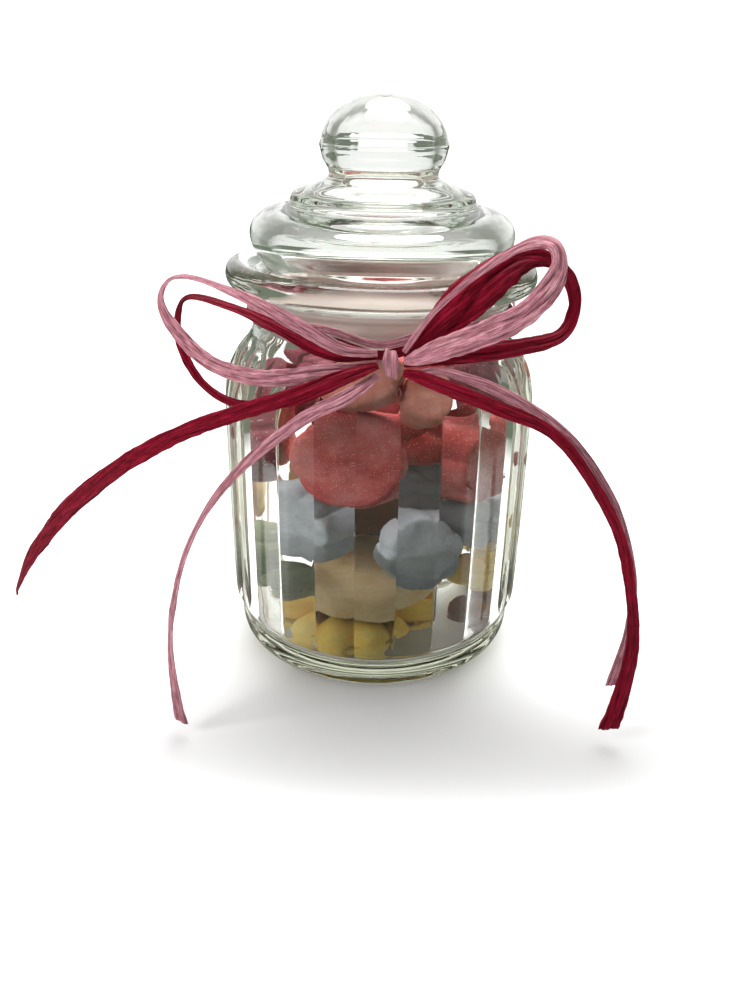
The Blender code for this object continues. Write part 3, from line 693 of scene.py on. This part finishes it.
# how the visible face is moulded: plain back, petals, or a stamped ring
FACES = {"sweet_blue_front": "plain", "sweet_blue_left": "plain", "sweet_pink_big": "ring",
         "sweet_cream_front": "plain", "sweet_peach_left": "plain", "sweet_peach_right": "plain",
         "sweet_rose_right": "plain"}


LOBES = {"sweet_pink_big": 0.04, "sweet_blue_front": 0.085, "sweet_blue_left": 0.12,
         "sweet_cream_front": 0.10}


def outline(petals, turn, depth=0.10):
    return 1.0 - depth + depth * abs(math.cos(0.5 * petals * turn)) ** 0.8


def cad_sweet(radius, ratio, petals, thick):
    """The corners of the plain solid, which settle where a sweet leans."""
    sides = petals * 3
    depth = 0.10 if petals < 10 else 0.13
    verts = [(0, 0, -0.5 * thick)]
    for scale, height, wave in [(0.90, -0.5, 0.6), (1.0, -0.12, 1.0), (0.86, 0.34, 1.1)]:
        for i in range(sides):
            turn = i / sides * TAU
            r = radius * scale * (1 + wave * (outline(petals, turn, depth) - 1))
            verts.append((r * math.cos(turn), r * ratio * math.sin(turn), height * thick))
    verts.append((0, 0, 0.5 * thick))
    return verts


def facing(azimuth, tilt, spin):
    return (Matrix.Rotation(math.radians(azimuth), 3, "Z")
            @ Matrix.Rotation(math.radians(90 - tilt), 3, "X")
            @ Matrix.Rotation(math.radians(spin), 3, "Z"))


def bore(z):
    line = sorted((p[1], p[0]) for p in BORE_LINE)
    for (z0, r0), (z1, r1) in zip(line, line[1:]):
        if z0 <= z <= z1 and z1 > z0:
            return r0 + (r1 - r0) * (z - z0) / (z1 - z0)
    return line[-1][1]


def wall_middle(verts, turn, azimuth, height, gap):
    a = math.radians(azimuth)
    out = Vector((math.sin(a), -math.cos(a), 0))
    turned_verts = [turn @ Vector(v) for v in verts]
    reach = BORE_R
    while reach > 0:
        middle = out * reach + Vector((0, 0, height))
        if all(math.hypot((middle + v).x, (middle + v).y) < bore((middle + v).z) - gap
               for v in turned_verts):
            return middle
        reach -= 0.1
    return Vector((0, 0, height))


SIDE_ROWS = [
    (0.0, -0.5, 0.0), (0.45, -0.5, 0.15), (0.80, -0.5, 0.6), (0.915, -0.485, 0.85),
    (0.962, -0.43, 0.95), (0.985, -0.30, 1.0), (1.0, -0.10, 1.0), (0.99, 0.12, 1.0),
    (0.972, 0.27, 1.0), (0.945, 0.38, 1.0), (0.90, 0.445, 1.0), (0.80, 0.478, 0.95),
    (0.60, 0.49, 0.8), (0.30, 0.495, 0.4), (0.0, 0.495, 0.0),
]


DAISY_ROWS = [
    (0.0, -0.5, 0.0), (0.45, -0.5, 0.2), (0.70, -0.5, 0.6), (0.84, -0.47, 0.8),
    (0.93, -0.38, 0.92), (0.985, -0.22, 1.0), (1.0, -0.05, 1.0), (0.985, 0.12, 1.0),
    (0.94, 0.25, 1.0), (0.86, 0.355, 1.0), (0.75, 0.42, 1.0), (0.62, 0.45, 0.95),
    (0.45, 0.455, 0.8), (0.25, 0.45, 0.4), (0.0, 0.45, 0.0),
]


def openness_for_painted_shade(mesh, close):
    """How open to the room each corner of a sweet is, 0 to 1, in a UV layer, which the sugar material turns into
    painted shade where sweets close each other in.
    """
    open_to = []
    for v in mesh.vertices:
        n = v.normal
        side = n.orthogonal().normalized()
        other = n.cross(side)
        start = v.co + n * 0.0005
        hits = 0
        for k in range(10):
            a = k * 2.39996
            lean = math.sqrt((k + 0.5) / 10) * 0.94
            ray = n * math.sqrt(1.0 - lean * lean) + (side * math.cos(a) + other * math.sin(a)) * lean
            if close.ray_cast(start, ray, 0.011)[0] is not None:
                hits += 1
        open_to.append(1.0 - hits / 10)
    near = [[] for _ in open_to]
    for edge in mesh.edges:
        a, b = edge.vertices
        near[a].append(b)
        near[b].append(a)
    for _ in range(3):
        open_to = [(open_to[i] + sum(open_to[j] for j in near[i])) / (1 + len(near[i]))
                   for i in range(len(open_to))]
    layer = mesh.uv_layers.new(name="open")
    for loop in mesh.loops:
        layer.data[loop.index].uv = (open_to[loop.vertex_index], 0.5)


def sweet(name, radius, ratio, petals, thick, turn, middle, mat, seed, face):
    """A moulded sweet with soft edges, petals and small unevenness."""
    form = DAISY_ROWS if petals >= 10 else SIDE_ROWS
    rows = [catmull(form, i / 3) for i in range((len(form) - 1) * 3 + 1)]
    sides = petals * (16 if petals < 10 else 18)
    depth = LOBES.get(name, 0.115 if petals < 10 else 0.17)
    groove_deep = {"plain": 0.0, "ring": 0.0, "petal": 0.10}[face] * thick
    if petals >= 10:
        groove_deep = 0.34 * thick
    bm = bmesh.new()
    made = []
    for row in rows:
        scale, height, wave = row
        scale = max(0.0, min(1.0, scale))
        pole = scale < 0.004
        ring = []
        for i in range(1 if pole else sides):
            angle = i / sides * TAU
            valley = abs(math.cos(0.5 * petals * angle)) ** 0.6
            size = 1.0 + 0.05 * noise.noise(Vector((math.cos(angle) * 1.3, math.sin(angle) * 1.3, seed)))
            r = radius * scale * (1 + wave * depth * (valley - 1)) * size
            h = height * thick
            if h > 0:
                reach = ease((scale - 0.12) / 0.5)
                h -= groove_deep * reach * (1 - abs(math.cos(0.5 * petals * angle)) ** (0.7 if petals >= 10 else 0.45))
                if face == "petal" or petals >= 10:
                    h += 0.10 * thick * (1 - ease(scale / 0.22)) - 0.10 * thick * math.exp(-((scale - 0.27) / 0.06) ** 2)
                if face == "ring":
                    h -= 0.045 * thick * math.exp(-((scale - 0.42) / 0.05) ** 2)
            p = Vector((r * math.cos(angle), r * ratio * math.sin(angle), h))
            lump = noise.noise(p * 0.16 + Vector((seed * 7.0, 0, 0))) * 0.45
            lump += noise.noise(p * 0.55 + Vector((0, seed * 5.0, 0))) * 0.16
            lump += noise.noise(p * 1.7 + Vector((0, 0, seed * 3.0))) * 0.07
            n = Vector((p.x, p.y, p.z * 3.0))
            if n.length > 0:
                p += n.normalized() * lump
            ring.append(bm.verts.new((Vector(middle) + turn @ p) * MM))
        made.append(ring)
    for a, b in zip(made, made[1:]):
        for i in range(sides):
            j = (i + 1) % sides
            if len(a) == 1:
                bm.faces.new((a[0], b[j], b[i]))
            elif len(b) == 1:
                bm.faces.new((a[i], a[j], b[0]))
            else:
                bm.faces.new((a[i], a[j], b[j], b[i]))
    return new_piece(name + "_moulded", bm, mat, [name])


def sweet_material(name, base, dark, pale, glitter, wax):
    """Pressed sugar: waxy, cloudy, with fine sparkling grains, and painted shade in the corners that other sweets
    close in.
    """
    mat, tree, bsdf = new_material(name)
    coord = put(tree, "ShaderNodeTexCoord")
    where = coord.outputs["Object"]
    cloud = noise_node(tree, 130.0, 4.0, 0.6, where)
    tone = ramp_node(tree, cloud.outputs["Fac"], [(0.30, dark), (0.52, base), (0.78, pale)])
    grain = noise_node(tree, 1500.0, 2.0, 0.6, where)
    speck = ramp_node(tree, grain.outputs["Fac"], [(0.40, (0.93,) * 3), (0.62, (1.0,) * 3)])
    colour = mix_colour(tree, 1.0, tone.outputs[0], speck.outputs[0], "MULTIPLY")
    cells = put(tree, "ShaderNodeTexVoronoi", feature="F1")
    cells.inputs["Scale"].default_value = 3400.0
    tree.links.new(where, cells.inputs["Vector"])
    near = math_node(tree, "LESS_THAN", cells.outputs["Distance"], 0.27)
    pick = put(tree, "ShaderNodeSeparateColor")
    tree.links.new(cells.outputs["Color"], pick.inputs[0])
    drift = noise_node(tree, 300.0, 2.0, 0.5, where)
    chosen = math_node(tree, "LESS_THAN", pick.outputs[0],
                       math_node(tree, "MULTIPLY", drift.outputs["Fac"], glitter))
    spark = math_node(tree, "MULTIPLY", near, chosen)
    space = put(tree, "ShaderNodeUVMap", uv_map="open")
    apart = put(tree, "ShaderNodeSeparateXYZ")
    tree.links.new(space.outputs[0], apart.inputs[0])
    rich = tuple(min(1.0, (c / max(base)) ** 0.8) for c in base)
    # painted shade: corners that the open UV layer marks as closed in by other sweets are darkened and deepened in
    # colour
    painted_crevice_shade = ramp_node(tree, apart.outputs["X"], [
        (0.05, tuple(0.30 * c for c in rich)), (0.42, tuple(0.55 + 0.35 * c for c in rich)),
        (0.78, (1.0, 1.0, 1.0))])
    colour = mix_colour(tree, 1.0, colour, painted_crevice_shade.outputs[0], "MULTIPLY")
    colour = mix_colour(tree, math_node(tree, "MULTIPLY", spark, 0.55), colour, (0.95, 0.78, 0.78))
    tree.links.new(colour, bsdf.inputs["Base Color"])
    rough = math_node(tree, "SUBTRACT", 0.50, math_node(tree, "MULTIPLY", spark, 0.30))
    tree.links.new(rough, bsdf.inputs["Roughness"])
    fine = noise_node(tree, 900.0, 3.0, 0.6, where)
    height = math_node(tree, "ADD", fine.outputs["Fac"],
                       math_node(tree, "MULTIPLY", cloud.outputs["Fac"], 1.6))
    bump = put(tree, "ShaderNodeBump")
    bump.inputs["Strength"].default_value = 0.35
    bump.inputs["Distance"].default_value = 0.00025
    tree.links.new(height, bump.inputs["Height"])
    tree.links.new(bump.outputs[0], bsdf.inputs["Normal"])
    bsdf.inputs["Subsurface Weight"].default_value = wax
    bsdf.inputs["Subsurface Radius"].default_value = (1.0, 0.55, 0.45)
    bsdf.inputs["Subsurface Scale"].default_value = 0.0022
    bsdf.inputs["Specular IOR Level"].default_value = 0.06
    return mat


SUGAR = {  # base, darker, paler, glitter, waxiness
    "rose": ((0.63, 0.140, 0.138), (0.45, 0.046, 0.046), (0.77, 0.290, 0.290), 0.60, 0.35),
    "peach": ((0.80, 0.330, 0.265), (0.66, 0.220, 0.165), (0.88, 0.44, 0.37), 0.10, 0.35),
    "mauve": ((0.24, 0.062, 0.082), (0.15, 0.030, 0.043), (0.34, 0.110, 0.140), 0.40, 0.3),
    "blue": ((0.530, 0.560, 0.620), (0.420, 0.445, 0.505), (0.630, 0.655, 0.720), 0.05, 0.3),
    "cream": ((0.90, 0.70, 0.41), (0.78, 0.54, 0.27), (0.95, 0.80, 0.53), 0.04, 0.35),
    "yellow": ((0.99, 0.71, 0.175), (0.96, 0.58, 0.080), (1.0, 0.81, 0.32), 0.04, 0.4),
    "green": ((0.27, 0.310, 0.190), (0.20, 0.235, 0.125), (0.35, 0.39, 0.26), 0.04, 0.35),
    "amber": ((0.20, 0.060, 0.004), (0.11, 0.026, 0.001), (0.28, 0.100, 0.010), 0.05, 0.4),
}
sugar = {key: sweet_material("sugar_" + key, *spec) for key, spec in SUGAR.items()}

seed = 0
made_sweets = []
for name, spec in WALL_SWEETS.items():
    azimuth, height, radius, ratio, petals, thick, tilt, spin, extra, colour = spec
    seed += 1
    turn = facing(azimuth, tilt, spin)
    middle = wall_middle(cad_sweet(radius, ratio, petals, thick), turn, azimuth, height, 0.5 + extra)
    made_sweets.append(sweet(name, radius, ratio, petals, thick, turn, middle, sugar[colour],
                             seed, FACES.get(name, "petal")))
for name, spec in CORE_SWEETS.items():
    middle, radius, ratio, petals, thick, azimuth, tilt, spin, colour = spec
    seed += 1
    made_sweets.append(sweet(name, radius, ratio, petals, thick, facing(azimuth, tilt, spin), middle,
                             sugar[colour], seed, FACES.get(name, "petal")))

# the sweets' own shapes, cast against to find the corners that get painted shade
corners, sheets = [], []
for piece in made_sweets:
    first = len(corners)
    corners += [v.co.copy() for v in piece.data.vertices]
    sheets += [tuple(first + k for k in face.vertices) for face in piece.data.polygons]
painted_shade_occluders = BVHTree.FromPolygons(corners, sheets)
for piece in made_sweets:
    openness_for_painted_shade(piece.data, painted_shade_occluders)


# -------------------------------------------------------------------- studio
def floor():
    bm = bmesh.new()
    bmesh.ops.create_circle(bm, cap_ends=True, segments=96, radius=6.0)
    mesh = bpy.data.meshes.new("studio_floor")
    bm.to_mesh(mesh)
    bm.free()
    mat, tree, bsdf = new_material("studio_white")
    # the floor is white to the camera and to the light; rays that the glass mirrors or bends see it painted dark
    # beside the jar and before it, a painted dark reflection with no table there
    path = put(tree, "ShaderNodeLightPath")
    painted_dark_mirror_mask = math_node(tree, "MULTIPLY", path.outputs["Is Reflection Ray"],
                         path.outputs["Is Glossy Ray"])
    coord = put(tree, "ShaderNodeTexCoord")
    split = put(tree, "ShaderNodeSeparateXYZ")
    tree.links.new(coord.outputs["Object"], split.inputs[0])
    beside = math_node(tree, "SUBTRACT", math_node(tree, "ABSOLUTE", split.outputs["X"]),
                       math_node(tree, "MULTIPLY", split.outputs["Y"], 0.12))
    beside = math_node(tree, "MULTIPLY", math_node(tree, "SUBTRACT", beside, 0.045), 26.0, True)
    far = put(tree, "ShaderNodeVectorMath", operation="LENGTH")
    tree.links.new(coord.outputs["Object"], far.inputs[0])
    far = math_node(tree, "MULTIPLY", math_node(tree, "SUBTRACT", far.outputs["Value"], 0.150), 26.0, True)
    beside = math_node(tree, "MINIMUM", beside, far)
    before = math_node(tree, "MULTIPLY",
                       math_node(tree, "SUBTRACT", -0.040, split.outputs["Y"]), 45.0, True)
    beside = math_node(tree, "MAXIMUM", beside, math_node(tree, "MULTIPLY", before, 0.92))
    beside = math_node(tree, "MULTIPLY", beside, path.outputs["Is Glossy Ray"])
    dull = math_node(tree, "MAXIMUM", math_node(tree, "MULTIPLY", painted_dark_mirror_mask, 0.85), beside)
    # painted dark reflection: the floor colour turns dark green-grey only for rays seen in the glass
    tree.links.new(mix_colour(tree, dull, (0.84, 0.84, 0.84), (0.085, 0.105, 0.075)),
                   bsdf.inputs["Base Color"])
    bsdf.inputs["Roughness"].default_value = 0.9
    bsdf.inputs["Specular IOR Level"].default_value = 0.1
    mesh.materials.append(mat)
    obj = bpy.data.objects.new("studio_floor", mesh)
    obj.location.z = -0.00015
    bpy.context.scene.collection.objects.link(obj)


def shadow_card():
    """A flag under the light, which lays the wide soft shadow before the jar."""
    bm = bmesh.new()
    rim = [bm.verts.new((0.104 * math.cos(i / 48 * TAU), 0.026 * math.sin(i / 48 * TAU), 0.0))
           for i in range(48)]
    bm.faces.new(rim)
    mesh = bpy.data.meshes.new("shadow_card")
    bm.to_mesh(mesh)
    bm.free()
    mat, tree, bsdf = new_material("flag_grey")
    bsdf.inputs["Base Color"].default_value = (0.2, 0.2, 0.2, 1.0)
    coord = put(tree, "ShaderNodeTexCoord")
    shape = put(tree, "ShaderNodeMapping")
    shape.inputs["Scale"].default_value = (1 / 0.104, 1 / 0.026, 1.0)
    tree.links.new(coord.outputs["Object"], shape.inputs["Vector"])
    out = put(tree, "ShaderNodeVectorMath", operation="LENGTH")
    tree.links.new(shape.outputs[0], out.inputs[0])
    fade = ramp_node(tree, out.outputs["Value"], [(0.25, (0.92,) * 3), (0.65, (0.66,) * 3), (1.0, (0.0,) * 3)])
    tree.links.new(fade.outputs[0], bsdf.inputs["Alpha"])
    mesh.materials.append(mat)
    obj = bpy.data.objects.new("shadow_card", mesh)
    obj.location = (0.014, -0.042, 0.036)
    obj.visible_camera = False
    obj.visible_glossy = False
    obj.visible_transmission = False
    obj.visible_diffuse = False
    bpy.context.scene.collection.objects.link(obj)


def lamp(name, place, aim, size, power, colour=(1, 1, 1)):
    data = bpy.data.lights.new(name, "AREA")
    data.shape = "RECTANGLE"
    data.size, data.size_y = size
    data.energy = power
    data.color = colour
    obj = bpy.data.objects.new(name, data)
    bpy.context.scene.collection.objects.link(obj)
    obj.location = place
    obj.rotation_euler = (Vector(aim) - Vector(place)).to_track_quat("-Z", "Y").to_euler()
    obj.visible_camera = False
    obj.visible_transmission = False
    obj.visible_glossy = False


def sun(name, source, spread, strength):
    data = bpy.data.lights.new(name, "SUN")
    data.energy = strength
    data.angle = math.radians(spread)
    obj = bpy.data.objects.new(name, data)
    bpy.context.scene.collection.objects.link(obj)
    obj.rotation_euler = Vector(source).to_track_quat("Z", "Y").to_euler()
    obj.visible_camera = False


def studio_world():
    world = bpy.data.worlds.new("studio")
    bpy.context.scene.world = world
    world.use_nodes = True
    tree = world.node_tree
    back = tree.nodes["Background"]
    coord = put(tree, "ShaderNodeTexCoord")
    split = put(tree, "ShaderNodeSeparateXYZ")
    tree.links.new(coord.outputs["Generated"], split.inputs[0])
    ahead = math_node(tree, "ADD", math_node(tree, "MULTIPLY", split.outputs["Y"], 0.5), 0.5)
    # what lights the jar: white behind, softer overhead, dim beside and before
    rise = ramp_node(tree, split.outputs["Z"], [
        (0.0, (0.0, 0.0, 0.0)), (0.50, (0.0, 0.0, 0.0)), (0.78, (0.40, 0.40, 0.39)),
        (1.0, (0.50, 0.50, 0.50))])
    side = ramp_node(tree, ahead, [
        (0.0, (0.22, 0.22, 0.22)), (0.22, (0.16, 0.16, 0.16)), (0.40, (0.10, 0.10, 0.10)),
        (0.66, (0.14, 0.14, 0.14)), (0.80, (1.0, 1.0, 1.0))])
    light = mix_colour(tree, 1.0, rise.outputs[0], side.outputs[0], "LIGHTEN")
    # what the glass shows of the room: a narrow white sheet behind the jar
    rise = ramp_node(tree, split.outputs["Z"], [
        (0.0, (0.0, 0.0, 0.0)), (0.30, (0.16, 0.16, 0.15)), (0.70, (0.48, 0.48, 0.46)),
        (1.0, (0.60, 0.60, 0.60))])
    side = ramp_node(tree, ahead, [
        (0.0, (0.20, 0.20, 0.19)), (0.40, (0.12, 0.13, 0.11)), (0.86, (0.34, 0.35, 0.32)),
        (0.965, (1.0, 1.0, 1.0))])
    shown = mix_colour(tree, 1.0, rise.outputs[0], side.outputs[0], "LIGHTEN")
    path = put(tree, "ShaderNodeLightPath")
    colour = mix_colour(tree, path.outputs["Is Glossy Ray"], light, shown)
    colour = mix_colour(tree, path.outputs["Is Camera Ray"], colour, (1.0, 1.0, 1.0))
    tree.links.new(colour, back.inputs["Color"])
    back.inputs["Strength"].default_value = 1.15


floor()
studio_world()
sun("sky_light", (0.06, 0.36, 1.0), 42.0, 3.3)
lamp("soft_box_over", (0.05, 0.16, 0.60), (0.0, -0.01, 0.04), (0.30, 0.30), 1.6)
shadow_card()
lamp("window_left", (-0.60, -0.35, 0.42), (0.0, 0.0, 0.06), (0.34, 0.34), 4.0)

scene = bpy.context.scene
scene.view_settings.view_transform = "Standard"
scene.view_settings.look = "None"
scene.view_settings.exposure = 0.0
scene.cycles.max_bounces = 28
scene.cycles.transmission_bounces = 24
scene.cycles.glossy_bounces = 24
scene.cycles.diffuse_bounces = 4
scene.cycles.transparent_max_bounces = 24
scene.cycles.volume_bounces = 0
scene.cycles.caustics_reflective = False
scene.cycles.caustics_refractive = True
scene.cycles.sample_clamp_indirect = 4.0
scene.cycles.use_denoising = True
